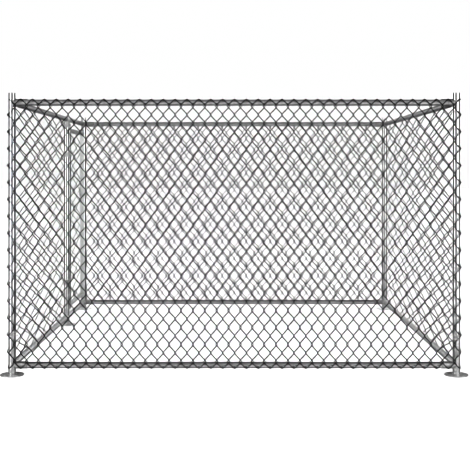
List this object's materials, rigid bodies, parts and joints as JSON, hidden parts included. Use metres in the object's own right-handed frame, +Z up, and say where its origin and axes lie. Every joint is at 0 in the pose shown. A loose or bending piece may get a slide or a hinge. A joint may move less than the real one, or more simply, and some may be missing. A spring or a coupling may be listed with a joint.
{
  "type": "chain-link kennel run",
  "caption": "Square outdoor run of galvanised tube and woven chain-link mesh, open at the top, with a pintle-hung gate in the left wall and a fork latch.",
  "frame": {"origin": "middle of the square plan, on the ground", "axes": "+Z up, front wall towards -Y, gate in the -X wall with its latch side at +Y"},
  "size_m": [2.072, 2.072, 1.25],
  "materials": {
    "post_tube": "bright galvanised tube",
    "rail_tube": "bright galvanised tube",
    "gate_tube": "bright galvanised tube",
    "fitting": "galvanised pressed steel",
    "base_plate": "hot-dip galvanised, dull",
    "mesh_wire": "galvanised wire",
    "tie_wire": "galvanised wire",
    "bolt": "dark zinc-plated fasteners",
    "cap": "moulded plug"
  },
  "bodies": {
    "frame": {"post_front_left": "post_tube", "base_plate_front_left": "base_plate", "sockets_front_left": "fitting", "post_front_right": "post_tube", "base_plate_front_right": "base_plate", "sockets_front_right": "fitting", "post_back_left": "post_tube", "base_plate_back_left": "base_plate", "sockets_back_left": "fitting", "post_back_right": "post_tube", "base_plate_back_right": "base_plate", "sockets_back_right": "fitting", "gate_post": "post_tube", "base_plate_gate_post": "base_plate", "sockets_gate_post": "fitting", "rail_tee": "fitting", "top_rail_front": "rail_tube", "top_rail_back": "rail_tube", "top_rail_left": "rail_tube", "top_rail_right": "rail_tube", "bottom_rail_front": "rail_tube", "bottom_rail_back": "rail_tube", "bottom_rail_left": "rail_tube", "bottom_rail_right": "rail_tube", "sill_rail": "rail_tube", "rail_bolts": "bolt", "rail_nuts": "bolt", "mesh_front": "mesh_wire", "mesh_back": "mesh_wire", "mesh_right": "mesh_wire", "mesh_left": "mesh_wire", "tie_wires": "tie_wire", "post_hinge_lower": "fitting", "post_hinge_upper": "fitting", "post_hinge_bolts": "bolt"},
    "gate": {"gate_hinge_stile": "gate_tube", "gate_latch_stile": "gate_tube", "gate_top_rail": "gate_tube", "gate_bottom_rail": "gate_tube", "gate_stile_caps": "cap", "gate_mesh": "mesh_wire", "gate_tie_wires": "tie_wire", "gate_hinge_lower": "fitting", "gate_hinge_upper": "fitting", "gate_hinge_bolts": "bolt", "latch_collar": "fitting", "latch_collar_bolt": "bolt", "latch_pivot_bolt": "bolt"},
    "fork": {"latch_fork": "fitting"}
  },
  "joints": [
    {"name": "gate_swing", "type": "hinge", "parent": "frame", "child": "gate", "pos_m": [-0.984, 0.397, 0.6], "axis": [0, 0, 1], "range_deg": [-90, 90]},
    {"name": "latch_drop", "type": "hinge", "parent": "gate", "child": "fork", "pos_m": [-0.984, 0.947, 0.745], "axis": [1, 0, 0], "range_deg": [-90, 0]}
  ]
}
